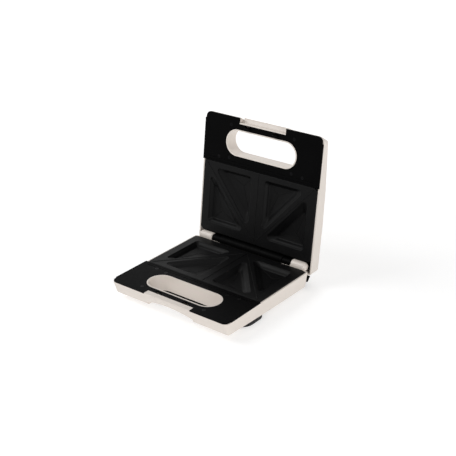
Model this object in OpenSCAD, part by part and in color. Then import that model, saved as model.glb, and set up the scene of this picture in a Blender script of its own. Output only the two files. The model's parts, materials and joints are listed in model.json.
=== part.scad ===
// Sandwich toaster with two hinged halves, drawn with its lid standing open.
// A half is drawn in its own frame: x across, y back from its front edge, z out from its deck plane.
// The base half is then mirrored downwards, and the lid half is swung up about the hinge.

/* [Shells] */
// Width across both shells
body_w = 228; // [220:1:236]
// Length of the base shell, front to back
base_l = 204; // [200:1:210]
// How far the lid shell reaches behind the base shell
lid_overhang = 18; // [17:0.5:20]
// Plan radius of the front corners
corner_r = 10; // [8:0.5:14]
// Plan radius of the rear corners
rear_corner_r = 4; // [3:0.5:6]
// Wall of both shells
wall = 2.2; // [1.8:0.1:2.6]
// Rounding between the walls and the outer face
edge_r = 4.5; // [3.5:0.5:6]
// How far the front wall leans in towards the outer face
front_lean = 6.5; // [5:0.5:8]
// How far each side wall leans in towards the outer face
side_lean = 1.8; // [1:0.2:3]
// Drop of the shell rims below the deck planes
rim_d = 2; // [1.6:0.1:2.4]
// Depth of the base shell at its front
base_front_h = 24.5; // [23.5:0.5:26]
// Depth of the base shell at its middle
base_mid_h = 28; // [27.5:0.5:29]
// Depth of the base shell at its rear
base_rear_h = 29; // [28.5:0.5:30]
// Depth of the lid shell at its front
lid_front_h = 19.7; // [19:0.1:21]
// Depth of the lid shell where its slope levels off
lid_knee_h = 26.5; // [26:0.5:27.5]
// Depth of the lid shell at its highest
lid_top_h = 28.4; // [28:0.1:29.5]
// Rounding of the lid shell behind the hinge
lid_rear_r = 5; // [4:0.5:8]

/* [Decks and handle] */
// Length of each front deck, which shares the base's length with the plate
deck_l = 80; // [78:0.5:82]
// Thickness of each front deck, which lies on the rim
deck_t = 2; // [1.6:0.1:2.4]
// Width of the notch for the latch in the front edge
notch_w = 90; // [84:1:94]
// Length of that notch, front to back
notch_l = 10; // [9.5:0.5:10.5]
// Overall length of the handle opening in the decks
handle_w = 137.8; // [128:0.5:140]
// Width of the handle opening, front to back
handle_open = 43.8; // [42:0.2:44.4]
// Middle of the handle opening, from the front edge
handle_y = 40.85; // [40.5:0.05:41.5]
// Wall of the handle tubes
tube_wall = 2; // [1.6:0.1:2.4]
// Width of the step in the deck's side edge near the front
jog = 2; // [0.5:0.1:2]

/* [Cooking plates] */
// Length of each plate, which shares the base's length with the deck
plate_l = 121; // [116:0.5:126]
// Step from the shell's outside to the plate's edge
plate_inset = 2.7; // [2.6:0.1:3.4]
// Drop of the plate's face below the deck plane
plate_drop = 0.4; // [0.2:0.1:0.8]
// Thickness of the plate's rim
plate_t = 2.4; // [2:0.1:2.8]
// Depth of the sandwich pockets below the plate's face
pocket_depth = 8.2; // [7:0.1:8.6]
// Width of the wall between two pockets
pocket_wall = 12; // [9:0.5:15]
// Rounding of the pockets' corners in plan
pocket_r = 5; // [4:0.5:6]
// How far the pockets' walls lean in towards their floors
pocket_lean = 3; // [2:0.5:4]
// Outer diameter of the heating element
heater_d = 6.5; // [6:0.1:6.8]

/* [Hinge and latch] */
// Opening angle of the lid
lid_open = 98; // [92:1:104]
// Gap between the deck planes of the closed halves
deck_gap = 2; // [1.8:0.1:2.4]
// Hinge axis behind the base shell
hinge_back = 5.5; // [5.2:0.1:6]
// Radius of the base's hinge barrels
barrel_r = 7.5; // [7:0.1:7.5]
// Radius of the lid's hinge knuckles
knuckle_r = 6; // [5.6:0.1:6]
// Diameter of the hinge pins
pin_d = 5; // [4:0.1:5.4]
// Diameter of the latch pin
latch_pin_d = 2.5; // [2:0.1:3]
// Thickness of the latch's plates
latch_t = 1.6; // [1.4:0.1:1.8]
// Travel of the latch when its paddle is lifted
latch_turn = 7; // [6:0.5:7]

/* [Feet] */
// Height of the rear feet below the base shell
foot_gap = 4.5; // [3.5:0.1:6]
// Width of a front foot pad
front_foot_w = 42; // [38:1:42]
// Length of a front foot pad
front_foot_l = 54; // [48:1:56]
// Diameter of a rear foot
rear_foot_d = 22; // [18:1:24]

/* [Fits] */
// Radial clearance of pins in their bores
pin_fit = 0.05; // [0.03:0.01:0.1]
// Radial clearance of screws in their holes
screw_fit = 0.08; // [0.05:0.01:0.15]
// Clearance between pieces that don't touch
gap = 0.3; // [0.25:0.05:0.4]

/* [Hidden] */
$fn = 64;

cream = [0.9, 0.87, 0.83];
black = [0.06, 0.06, 0.065];
coated = [0.12, 0.12, 0.125];
steel = [0.72, 0.73, 0.75];
rubber = [0.09, 0.09, 0.09];
over = 1;
bend_bulge = 0.1;
tall = 60;

half_w = body_w / 2;
lid_l = base_l + lid_overhang;
hinge_y = base_l + hinge_back;
hinge_z = deck_gap / 2;
rim_band = 2;
floor_h = base_rear_h + foot_gap;

// The deck and the plate fill the base's length, in the proportion of their own lengths
plate_gap = 0.5;
rear_gap = 2.5;
length_share = (base_l - plate_gap - rear_gap) / (deck_l + plate_l);
deck_end = deck_l * length_share;

// Round corners of a shell's outer face: distance from the front, depth and radius
base_mid_y = base_l - 84;
base_corners = [[front_lean + edge_r, base_front_h, edge_r], [base_mid_y, base_mid_h, edge_r],
    [base_l - 2 - edge_r, base_rear_h, edge_r]];
lid_knee_y = deck_end + 8;
lid_top_y = base_l - 54;
lid_corners = [[front_lean + edge_r, lid_front_h, edge_r], [lid_knee_y, lid_knee_h, edge_r],
    [lid_top_y, lid_top_h, edge_r], [lid_l - 0.5 - lid_rear_r, lid_top_h - 0.4, lid_rear_r]];

// The open lid's rearmost point gives the middle of the whole
function lid_reach(c) = hinge_y + (c[0] - hinge_y) * cos(lid_open)
    + (c[1] - c[2] + hinge_z) * sin(lid_open) + c[2];
mid_y = max([for (c = lid_corners) lid_reach(c)]) / 2;

// Handle tube, with the deck round it
tube_gap = 0.2;
tube_r = handle_open / 2 - tube_gap;
tube_span = handle_w - handle_open;
tube_proud = 0.3;
strip_l = deck_end - handle_y - handle_open / 2;

// Plate and what lies under it
plate_y = deck_end + plate_gap;
plate_end = plate_y + plate_l * length_share;
plate_half = half_w - plate_inset;
plate_r = 7;
plate_under = plate_drop + plate_t;
field_in = 13.5;
field_out = plate_half - 15.8;
field_front = plate_y + 10;
field_rear = plate_end - 16.5;
pan_edge = 6;
pan_floor = 1.8;
apex_drop = 1.2;
pan_d = plate_drop + pocket_depth + apex_drop + pan_floor;
rib_w = 1.2;
rib_h = 0.7;
heater_gap = 0.2;
heater_z = pan_d + heater_gap + heater_d / 2;
heater_front = field_front + 22;
heater_rear = field_rear - 20;
heater_bend = (heater_rear - heater_front) / 2;
heater_half = field_out - 33.5;
heater_end = 12;
heater_pin_l = 7;
clip_t = 0.9;
clip_w = 9;
clip_foot = 5;
clip_x = heater_half - 26;
shield_t = 0.6;
shield_floor = heater_z + heater_d / 2 + clip_t + 0.4;
tray_half = plate_half - 7.3;
tray_y = plate_y + 3;
tray_end = plate_end - 8.5;
flange_half = plate_half - 2.5;
flange_y = plate_y + 1.2;
flange_end = plate_end - 2.8;
flange_d = plate_under + shield_t;
boss_r = 3.4;
boss_y = [field_front + 6, field_rear + 2];

// Tongues of the shield that the deck clamps on the shell
tongue_x = 40;
tongue_w = 24;
tongue_l = 7;

// Screws
screw_r = 1.4;
head_r = 2.6;
head_h = 1.2;
recess_l = 3;
recess_w = 0.7;
post_r = 3.3;
deck_screw_at = [[61, 13.5], [61, deck_end - 0.7 * strip_l], [half_w - 32, deck_end - 0.58 * strip_l]];
deck_screw_l = 10.5;
shield_screw_l = 6;
cover_screw_l = 6.5;
bracket_screw_l = 9;
rest_post_r = 2.1;
rest_post_at = [[half_w - 7.6, plate_y + 25], [half_w - 7.6, plate_end - 22], [60, plate_end - 5.2]];

// Hinge
pin_r = pin_d / 2;
channel_r = barrel_r + 0.7;
knuckle_x = half_w - 51;
knuckle_w = 16.6;
barrel_x = knuckle_x + knuckle_w + gap + 0.1;
barrel_end = half_w - 6.5;
barrel_round = 6;
barrel_inner_round = 2.5;
pin_x = knuckle_x + 0.2;
pin_l = 40;
cover_r = 7.2;
cover_half = knuckle_x - gap - 0.1;
cover_t = 2;
skirt_t = 1.8;
skirt_d = 13;
cover_screw_x = 30;
cover_screw_z = 10;
web_in = 7.5;
web_out = 1.5;
web_d = 14;
panel_t = 1.5;
panel_d = 8.5;
panel_front = plate_end - 0.2;
panel_end = lid_l - 5.5;
panel_half = half_w - 7.5;
bracket_screw_at = [[knuckle_x - 18, hinge_y], [half_w - 18, hinge_y]];
stop_x = knuckle_x + 8;
stop_w = 10;
stop_top = 9.5;
stop_h = 4;
lead_r = 1.6;
lead_x = 20;
lead_dip = cover_r * max(sin(lid_open - 90), 0);

// The lid's rear rim comes to rest against the stop lugs
rim_y = lid_l - hinge_y;
rim_z = rim_d + hinge_z;
stop_y = hinge_y + rim_y * cos(lid_open) + rim_z * sin(lid_open) - gap;

// Latch, in the lid's frame: across its section, y is back and z is out from the deck plane
pivot_y = 15;
pivot_z = 11;
latch_pin_r = latch_pin_d / 2;
latch_barrel_r = 3;
latch_half = notch_w / 2 - gap;
latch_back = notch_l - gap;
paddle_y = 1.8;
paddle_z = 13.2;
window_half = latch_half + 0.6;
window_d = 16.4;
recess_wall = 1.6;
cheek_t = 1.5;
cheek_x = latch_half + gap;
cheek_r = 3.5;
hook_x = 27;
hook_w = 10;
hook_t = 1.4;
hook_y = pivot_y - hook_t / 2 - 0.1;
hook_bite = 0.9;
hook_clear = 0.4;
hook_toe = 1.6;
hook_reach = deck_gap + deck_t + hook_clear + hook_toe;
slot_front = hook_y - hook_t / 2 - (pivot_z + hook_reach) * sin(latch_turn) - gap;
slot_rear = hook_y + hook_t / 2 + 0.6;
hook_seat = pivot_z - latch_pin_r - 1.15;
spring_x = 11;
spring_w = 5;
spring_r = 2.5;

// Ledge in the notch, and the finger recess under the grip, which opens into the handle hole
ledge_drop = 0.5;
ledge_t = 2;
scoop_d = 11.5;
scoop_half = notch_w / 2;
scoop_r = 8;
scoop_arch = 150;
scoop_end = handle_y;

// Cord inlet and cord cleats in the base's rear wall
gland_z = 20;
gland_r = 4.6;
gland_bore = 3;
gland_flange = 5.8;
gland_y = base_l - 0.8;
cleat_x = half_w - 18;
cleat_w = 20;
cleat_z = 24.5;
cleat_h = 11;
cleat_l = 18;
cleat_t = 2.5;
cleat_taper = 4;
cleat_y = base_l - 0.6;
spigot_r = 3;
spigot_z = 21.5;

// Vents in the base's underside
vents = 5;
vent_x = 30;
vent_step = 9;
vent_w = 3;
vent_l = 34;

// Feet
front_foot_x = half_w - 26.5;
front_foot_y = deck_end - 4;
front_foot_r = 18;
rear_foot_x = half_w - 28;
rear_foot_y = base_l - 22;
foot_film = 0.06;

// Electrical pieces
block_size = [26, 12, 5.4];
block_at = [-34, plate_end - 35.5];
stat_at = [34, plate_end - 51.5];
stat_r = 8;
stat_h = 4.6;
fuse_at = [0, plate_end - 69.5];
fuse_r = 2;
fuse_l = 14;
wire_r = 1.1;
lamp_x = 9;
lamp_y = deck_end - 0.406 * strip_l;
lamp_r = 2.2;
lens_r = 3.4;
lens_flange_r = 4.3;
lens_flange_t = 1.2;
lens_proud = 0.7;
holder_h = 7;
holder_wall = 2;

module place() translate([0, -mid_y, floor_h]) children();
module on_base() place() mirror([0, 0, 1]) children();
module on_lid() place() translate([0, hinge_y, hinge_z]) rotate([-lid_open, 0, 0])
    translate([0, -hinge_y, hinge_z]) children();
module both() {
    children();
    mirror([1, 0, 0]) children();
}
// A bar along x, centred on x = 0
module across(r, l) translate([-l / 2, 0, 0]) rotate([0, 90, 0]) cylinder(r = r, h = l);
// A bar along x from x0 on
module bar(r, x0, l) translate([x0, 0, 0]) rotate([0, 90, 0]) cylinder(r = r, h = l);
// A section drawn in y and z, drawn out along x and centred
module section(l) translate([-l / 2, 0, 0]) rotate([90, 0, 90]) linear_extrude(l) children();
module rod(a, b, r) {
    v = b - a;
    translate(a) rotate([0, acos(v[2] / norm(v)), atan2(v[1], v[0])]) cylinder(r = r, h = norm(v));
}
// A lead along the points, with eight sides and a ball at each bend
module wire(points, r) {
    for (i = [1:len(points) - 1]) rod(points[i - 1], points[i], r, $fn = 8);
    for (i = [1:len(points) - 2]) translate(points[i]) sphere(r + bend_bulge, $fn = 8);
}

// Plan outline of a half, w wide each way, from y0 to y1, with front and rear corner radii
module outline(w, y0, y1, rf, rr) {
    translate([-w, y0 + rf]) square([2 * w, y1 - y0 - rf - rr]);
    translate([-w + rf, y0]) square([2 * (w - rf), rf]);
    translate([-w + rr, y1 - rr]) square([2 * (w - rr), rr]);
    for (side = [-1, 1]) {
        translate([side * (w - rf), y0 + rf]) circle(rf);
        translate([side * (w - rr), y1 - rr]) circle(rr);
    }
}
module stadium(r, span) {
    square([span, 2 * r], center = true);
    for (side = [-1, 1]) translate([side * span / 2, 0]) circle(r);
}
module prism(z0, z1) translate([0, 0, z0]) linear_extrude(z1 - z0) children();

// Convex form of a shell, drawn in by i, whose rim starts at height top
module shell_form(l, corners, i, top) {
    hull() {
        prism(top, rim_d + rim_band)
            outline(half_w - i, i, l - i, max(corner_r - i, 1), max(rear_corner_r - i, 1), $fn = 32);
        for (c = corners, side = [-1, 1])
            translate([side * (half_w - side_lean - c[2]), c[0], c[1] - c[2]]) sphere(c[2] - i, $fn = 32);
    }
}
module handle_prism(r, z0, z1) translate([0, handle_y, 0]) prism(z0, z1) stadium(r, tube_span);
module posts(at, r, z0) for (p = at, side = [-1, 1])
    translate([side * p[0], p[1], z0]) cylinder(r = r, h = tall);
module tongue_at() for (side = [-1, 1]) translate([side * tongue_x, deck_end, 0]) children();

// What stands inside both shells: the handle tube, screw posts and rests for the shield
module shell_insides() {
    handle_prism(tube_r, -over, tall);
    posts(deck_screw_at, post_r, -over);
    posts(rest_post_at, rest_post_r, flange_d);
    tongue_at() translate([-tongue_w / 2, -tongue_l + 1, flange_d]) cube([tongue_w, 4, tall]);
}
module shell_cuts() {
    handle_prism(tube_r - tube_wall, -over, tall);
    posts(deck_screw_at, screw_r + screw_fit, -over - tall + 14);
}
// A hollow half shell with its handle tube
module half_shell(l, corners) {
    difference() {
        shell_form(l, corners, 0, rim_d);
        difference() {
            shell_form(l, corners, wall, -over);
            children();
            shell_insides();
        }
    }
    handle_prism(tube_r, -tube_proud, rim_d + over);
}

module barrel_profile() {
    translate([0, barrel_inner_round])
        square([barrel_r, barrel_end - barrel_round - barrel_inner_round - barrel_x]);
    square([barrel_r - barrel_inner_round, barrel_end - barrel_round - barrel_x]);
    square([barrel_r - barrel_round, barrel_end - barrel_x]);
    translate([barrel_r - barrel_inner_round, barrel_inner_round]) circle(barrel_inner_round);
    translate([barrel_r - barrel_round, barrel_end - barrel_round - barrel_x]) circle(barrel_round);
}
module barrel() translate([barrel_x, 0, 0]) rotate([0, 90, 0]) rotate_extrude() intersection() {
    barrel_profile();
    square([barrel_r, barrel_end]);
}
module at_hinge() translate([0, hinge_y, -hinge_z]) children();
module scoop(grow) translate([0, scoop_end + grow, 0]) rotate([90, 0, 0]) linear_extrude(scoop_end + tall)
    intersection() {
        outline(scoop_half + grow, scoop_d - grow, tall, scoop_r + grow, 1);
        translate([0, scoop_d + scoop_arch]) circle(scoop_arch + grow);
    }

module base_shell() {
    color(cream) on_base() difference() {
        union() {
            half_shell(base_l, base_corners) {
                scoop(wall);
                translate([-notch_w / 2, 0, 0]) cube([notch_w, notch_l - gap, ledge_drop + ledge_t]);
                translate([-cover_screw_x - post_r, base_l - 8, cover_screw_z - hinge_z - post_r])
                    cube([2 * (cover_screw_x + post_r), 12, 2 * post_r]);
            }
            translate([-latch_half, 0, ledge_drop]) cube([2 * latch_half, notch_l - gap, ledge_t]);
            both() {
                at_hinge() barrel();
                translate([barrel_x, hinge_y - web_in, -hinge_z])
                    cube([barrel_end - barrel_round - barrel_x, web_in - web_out, web_d + hinge_z]);
                translate([stop_x - stop_w / 2, base_l - 3, stop_top])
                    cube([stop_w, stop_y - base_l + 3, stop_h]);
            }
        }
        shell_cuts();
        scoop(0);
        both() at_hinge() bar(pin_r + pin_fit, barrel_x - over, pin_x + pin_l - barrel_x + over + gap);
        translate([0, base_l - 9, gland_z]) rotate([-90, 0, 0]) cylinder(r = gland_r + screw_fit, h = 20);
        both() {
            translate([cleat_x, base_l - 9, spigot_z]) rotate([-90, 0, 0])
                cylinder(r = spigot_r + screw_fit, h = 20);
            translate([cover_screw_x, base_l - 7, cover_screw_z - hinge_z]) rotate([-90, 0, 0])
                cylinder(r = screw_r + screw_fit, h = 20);
            for (i = [0:vents - 1]) translate([vent_x + vent_step * i, base_mid_y, base_rear_h - 12])
                cube([vent_w, vent_l, 20]);
        }
    }
}

module lid_shell() {
    color(cream) on_lid() difference() {
        half_shell(lid_l, lid_corners) {
            posts(bracket_screw_at, post_r, panel_d + panel_t);
            both() translate([window_half, 0, rim_d]) cube([recess_wall, notch_l, lid_front_h - rim_d]);
        }
        shell_cuts();
        at_hinge() across(channel_r, 2 * (barrel_end + 2 * gap));
        translate([-window_half, -over, -over]) cube([2 * window_half, notch_l, window_d + over]);
        posts(bracket_screw_at, screw_r + screw_fit, -tall + 22);
        for (side = [-1, 1]) translate([side * lamp_x, lamp_y, 10])
            cylinder(r = lens_r + screw_fit, h = tall);
    }
}

// A screw along z whose head starts at z = 0
module screw(l) {
    difference() {
        cylinder(r = head_r, h = head_h);
        for (turn = [0, 90]) rotate([0, 0, turn]) translate([-recess_l / 2, -recess_w / 2, -over])
            cube([recess_l, recess_w, over + head_h / 2]);
    }
    translate([0, 0, head_h]) cylinder(r = screw_r, h = l);
}
module deck_screws() for (p = deck_screw_at, side = [-1, 1])
    translate([side * p[0], p[1], 0.2]) screw(deck_screw_l);
module base_deck_screws() color(steel) on_base() deck_screws();
module lid_deck_screws() color(steel) on_lid() deck_screws();

// Front deck: a slab on the shell's rim, with the handle opening, notch and hook slots
groove_y = [deck_end - 0.464 * strip_l, deck_end - 0.203 * strip_l];
groove_w = 1.1;
groove_d = 0.6;
module deck() {
    difference() {
        union() {
            prism(0, deck_t) {
                outline(half_w - jog, 0, deck_end, corner_r - jog, 1);
                translate([-half_w, corner_r + 1]) square([body_w, deck_end - corner_r - 1]);
            }
            tongue_at() translate([-tongue_w / 2, -tongue_l + 1, deck_t])
                cube([tongue_w, tongue_l - 1.5, plate_under - deck_t]);
        }
        translate([-notch_w / 2, -over, -over]) cube([notch_w, notch_l + over, deck_t + 2 * over]);
        handle_prism(handle_open / 2, -over, deck_t + over);
        posts(deck_screw_at, screw_r + screw_fit, -tall / 2);
        for (p = deck_screw_at, side = [-1, 1]) translate([side * p[0], p[1], -over])
            cylinder(r = head_r + 0.2, h = head_h + 0.2 + over);
        for (y = groove_y) translate([-half_w + 9, y, -over])
            cube([body_w - 18, groove_w, groove_d + over]);
        both() translate([hook_x - hook_w / 2 - 0.5, slot_front, -over])
            cube([hook_w + 1, slot_rear - slot_front, deck_t + 2 * over]);
    }
}
module base_deck() color(black) on_base() deck();

module at_pivot() translate([0, pivot_y, pivot_z]) children();
module lid_deck() {
    color(black) on_lid() {
        difference() {
            union() {
                deck();
                both() translate([cheek_x, 0, 0]) {
                    translate([0, notch_l + 0.2, deck_t - 0.5])
                        cube([cheek_t, 2 * (pivot_y - notch_l) - 2, pivot_z - deck_t]);
                    at_pivot() bar(cheek_r, 0, cheek_t);
                }
            }
            at_pivot() across(latch_pin_r + pin_fit, 2 * (cheek_x + cheek_t) + 2);
        }
    }
}

// Pockets: a right triangle with its square corner at c, and legs a along x and b along y
field_w = field_out - field_in;
field_l = field_rear - field_front;
leg_x = field_w - pocket_wall / 2 * norm([field_w, field_l]) / field_l;
leg_y = field_l - pocket_wall / 2 * norm([field_w, field_l]) / field_w;
function inradius(a, b) = (abs(a) + abs(b) - norm([a, b])) / 2;
function corners_of(c, a, b) = [c, c + [a, 0], c + [0, b]];
function centre_of(c, a, b) = c + inradius(a, b) * [sign(a), sign(b)];
module pocket(c, a, b) {
    rho = inradius(a, b);
    mid = centre_of(c, a, b);
    round_r = pocket_r - 1;
    hull() {
        for (p = corners_of(c, a, b)) {
            top = p + (mid - p) * pocket_r / rho;
            low = p + (mid - p) * (pocket_lean + round_r) / rho;
            translate([top[0], top[1], -over])
                cylinder(r = pocket_r, h = over + plate_drop + 0.3, $fn = 32);
            translate([low[0], low[1], plate_drop + pocket_depth - round_r]) sphere(round_r, $fn = 24);
        }
        translate([mid[0], mid[1], plate_drop + pocket_depth + apex_drop - 1]) sphere(1, $fn = 16);
    }
}
module pockets() {
    pocket([field_in, field_front], leg_x, leg_y);
    pocket([field_out, field_rear], -leg_x, -leg_y);
    pocket([-field_in, field_front], -leg_x, leg_y);
    pocket([-field_out, field_rear], leg_x, -leg_y);
}
module rib(a, b) {
    v = b - a;
    translate([a[0], a[1], plate_drop - rib_h]) rotate([0, 0, atan2(v[1], v[0])])
        translate([0, -rib_w / 2, 0]) cube([norm(v), rib_w, rib_h + 0.5]);
}
module plate() {
    difference() {
        union() {
            prism(plate_drop, plate_under) outline(plate_half, plate_y, plate_end, plate_r, plate_r);
            for (side = [0, 1]) mirror([side, 0, 0]) translate([(field_in + field_out) / 2, 0, 0])
                prism(plate_under - 0.5, pan_d)
                    outline(field_w / 2 + pan_edge, field_front - pan_edge, field_rear + pan_edge, 9, 9);
            for (y = boss_y) translate([0, y, plate_under - 0.5])
                cylinder(r = boss_r, h = shield_floor - plate_under + 0.5);
        }
        pockets();
        for (y = boss_y) translate([0, y, shield_floor - 8]) cylinder(r = screw_r + screw_fit, h = 12);
    }
    rib([0, plate_y + 2], [0, plate_end - 7]);
    both() rib([4, field_rear + 8], [field_out + 9, field_front - 6]);
}
module base_plate() color(coated) on_base() plate();
module lid_plate() color(coated) on_lid() plate();

// Heating element: a loop of tube, open between its two terminals
module heater() {
    translate([0, 0, heater_z]) {
        translate([0, heater_front, 0]) across(heater_d / 2, 2 * heater_half);
        both() {
            translate([0, heater_rear, 0]) {
                bar(heater_d / 2, heater_end, heater_half - heater_end);
                bar(heater_d / 4, heater_end - heater_pin_l, heater_pin_l);
            }
            translate([heater_half, heater_front + heater_bend, 0]) rotate([0, 0, -90])
                rotate_extrude(angle = 180) translate([heater_bend, 0]) circle(heater_d / 2);
        }
    }
}
module base_heater() color(steel) on_base() heater();
module lid_heater() color(steel) on_lid() heater();
module clip() {
    r = heater_d / 2 + heater_gap;
    section(clip_w) difference() {
        union() {
            translate([0, heater_z]) circle(r + clip_t);
            translate([-r - clip_foot, pan_d]) square([2 * (r + clip_foot), clip_t]);
        }
        translate([0, heater_z]) circle(r);
        translate([-r, pan_d - 10]) square([2 * r, heater_z - pan_d + 10]);
        translate([-tall / 2, pan_d - tall]) square([tall, tall]);
    }
}
module heater_clips() for (x = [-clip_x, clip_x], y = [heater_front, heater_rear])
    translate([x, y, 0]) clip();
module base_heater_clips() color(steel) on_base() heater_clips();
module lid_heater_clips() color(steel) on_lid() heater_clips();

// Heat shield: a pressed tray whose flange lies under the plate's rim
module tray_outline(i) outline(tray_half - i, tray_y + i, tray_end - i, 8, 8);
wire_hole = [0, plate_end - 54.5];
module heat_shield() {
    difference() {
        union() {
            prism(plate_under, flange_d) outline(flange_half, flange_y, flange_end, 6, 6);
            prism(plate_under, shield_floor + shield_t) tray_outline(0);
            tongue_at() translate([-tongue_w / 2 + 1, -tongue_l + 1, plate_under])
                cube([tongue_w - 2, tongue_l + 3, shield_t]);
        }
        prism(plate_under - over, shield_floor) tray_outline(shield_t);
        for (y = boss_y) translate([0, y, shield_floor - over]) cylinder(r = screw_r + screw_fit, h = 4);
        translate([wire_hole[0], wire_hole[1], shield_floor - over]) cylinder(r = 5, h = 4);
    }
}
module base_heat_shield() color(steel) on_base() heat_shield();
module lid_heat_shield() color(steel) on_lid() heat_shield();
module shield_screws() for (y = boss_y) translate([0, y, shield_floor + shield_t + head_h])
    mirror([0, 0, 1]) screw(shield_screw_l);
module base_shield_screws() color(steel) on_base() shield_screws();
module lid_shield_screws() color(steel) on_lid() shield_screws();

// Electrical pieces on the outside of the base's shield
under = shield_floor + shield_t;
module base_thermostat() {
    color(steel) on_base() translate([stat_at[0], stat_at[1], under]) {
        cylinder(r = stat_r, h = stat_h);
        for (side = [-1, 1]) translate([side * 4 - 1.5, stat_r - 2, 1]) cube([3, 7, 0.8]);
        translate([-stat_r - 5, -3, 0]) cube([2 * stat_r + 10, 6, 0.8]);
    }
}
module thermal_fuse() {
    color(steel) on_base() translate([fuse_at[0], fuse_at[1], under]) {
        translate([0, 0, fuse_r]) across(fuse_r, fuse_l);
        translate([-2.5, -fuse_r - 1, 0]) cube([5, 2 * fuse_r + 2, fuse_r + 0.5]);
    }
}
module terminal_block() {
    color([0.85, 0.84, 0.8]) on_base() translate([block_at[0], block_at[1], under]) difference() {
        translate([-block_size[0] / 2, -block_size[1] / 2, 0]) cube(block_size);
        for (i = [-1:1]) translate([8 * i, 0, 2.4]) cylinder(r = 1.7, h = 5);
    }
}
wire_z = under + 2.6;
block_rear = block_at[1] + block_size[1] / 2;
block_front = block_at[1] - block_size[1] / 2;
function fuse_end(side) = [fuse_at[0] + side * fuse_l / 2, fuse_at[1], under + fuse_r];
module base_wiring() {
    color([0.75, 0.72, 0.68]) on_base() {
        for (i = [-1:1])
            wire([[block_at[0] + 8 * i, block_rear, wire_z],
                [block_at[0] + 8 * i, block_rear + 7, wire_z],
                [-6 + 3 * i, tray_end + 2.5, wire_z], [1.6 * i, gland_y - 6.7, gland_z + 1]], wire_r / 2);
        wire([[block_at[0] + 8, block_front, wire_z], [block_at[0] + 8, block_front - 20, wire_z],
            fuse_end(-1) - [6, 0, 0], fuse_end(-1)], wire_r);
        wire([fuse_end(1), fuse_end(1) + [6, 0, 0], [stat_at[0] + 4, stat_at[1] - stat_r - 12, wire_z],
            [stat_at[0] + 4, stat_at[1] - stat_r, wire_z]], wire_r);
    }
}

module cord_gland() {
    color(rubber) on_base() translate([0, gland_y, gland_z]) rotate([-90, 0, 0]) difference() {
        union() {
            cylinder(r = gland_flange, h = 2);
            translate([0, 0, -6]) cylinder(r = gland_r, h = 7);
            cylinder(r1 = gland_r + 1.2, r2 = gland_bore + 1.2, h = 8);
        }
        translate([0, 0, -7]) cylinder(r = gland_bore, h = 30);
    }
}
module cord_cleats() {
    color(black) on_base() both() translate([cleat_x, cleat_y, 0]) {
        translate([-cleat_w / 2 + 4, 0, cleat_z - cleat_h / 2 + 1])
            cube([cleat_w - 8, cleat_l - cleat_t + 0.5, cleat_h - 2]);
        translate([0, cleat_l, cleat_z]) rotate([90, 0, 0]) linear_extrude(cleat_t)
            polygon([[-cleat_w / 2, -cleat_h / 2], [cleat_w / 2, -cleat_h / 2],
                [cleat_w / 2 - cleat_taper, cleat_h / 2], [cleat_taper - cleat_w / 2, cleat_h / 2]]);
        translate([0, -5.5, spigot_z]) rotate([-90, 0, 0]) cylinder(r = spigot_r, h = 6);
    }
}

// Feet: pads cut to the slope of the base shell
module foot_trim() difference() {
    children();
    shell_form(base_l, base_corners, -foot_film, rim_d);
}
module front_feet() {
    color(rubber) on_base() foot_trim() both() translate([front_foot_x, front_foot_y, 0])
        prism(base_front_h, floor_h)
            outline(front_foot_w / 2, -front_foot_l / 2, front_foot_l / 2, front_foot_r, front_foot_r);
}
module rear_feet() {
    color(rubber) on_base() foot_trim() both() translate([rear_foot_x, rear_foot_y, base_front_h])
        cylinder(r = rear_foot_d / 2, h = floor_h - base_front_h);
}

module hinge_pins() color(steel) on_base() both() at_hinge() bar(pin_r, pin_x, pin_l);
// The cover leaves a slot for the lid's lead, which swings with the lid
module hinge_cover() {
    color(black) on_base() difference() {
        union() {
            at_hinge() across(cover_r, 2 * cover_half);
            translate([-cover_half, base_l, 0]) cube([2 * cover_half, skirt_t, skirt_d - hinge_z]);
        }
        at_hinge() across(cover_r - cover_t, 2 * cover_half - 2 * cover_t);
        translate([-half_w, base_l - tall, rim_d]) cube([body_w, tall, tall]);
        both() translate([cover_screw_x, base_l - 1, cover_screw_z - hinge_z]) rotate([-90, 0, 0])
            cylinder(r = screw_r + screw_fit, h = 20);
        at_hinge() translate([lead_x - lead_r - gap, 0, -tall])
            cube([2 * (lead_r + gap), tall, tall + lead_r + gap + lead_dip + bend_bulge]);
        at_hinge() translate([lead_x - lead_r - gap, -lead_r - gap, -tall])
            cube([2 * (lead_r + gap), tall, tall]);
    }
}
module hinge_cover_screws() {
    color(steel) on_base() for (x = [-cover_screw_x, cover_screw_x])
        translate([x, base_l + skirt_t + head_h, cover_screw_z - hinge_z]) rotate([90, 0, 0])
            screw(cover_screw_l);
}

module lid_hinge_bracket() {
    color(black) on_lid() difference() {
        union() {
            section(2 * panel_half) {
                translate([panel_front - panel_t, flange_d + gap])
                    square([panel_t, panel_d + panel_t - flange_d - gap]);
                translate([panel_front - panel_t, panel_d])
                    square([panel_end - panel_front + panel_t, panel_t]);
            }
            both() at_hinge() {
                bar(knuckle_r, knuckle_x, knuckle_w);
                translate([knuckle_x, -knuckle_r + 1, 0])
                    cube([knuckle_w, 2 * knuckle_r - 2, panel_d + hinge_z + 0.5]);
            }
        }
        both() at_hinge() bar(pin_r + pin_fit, knuckle_x - over, knuckle_w + 2 * over);
        posts(bracket_screw_at, screw_r + screw_fit, -tall / 2);
        translate([lead_x, hinge_y, 0]) cylinder(r = lead_r + gap, h = 30);
    }
}
module lid_bracket_screws() color(steel) on_lid() for (p = bracket_screw_at, side = [-1, 1])
    translate([side * p[0], p[1], panel_d - head_h]) screw(bracket_screw_l);

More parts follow.
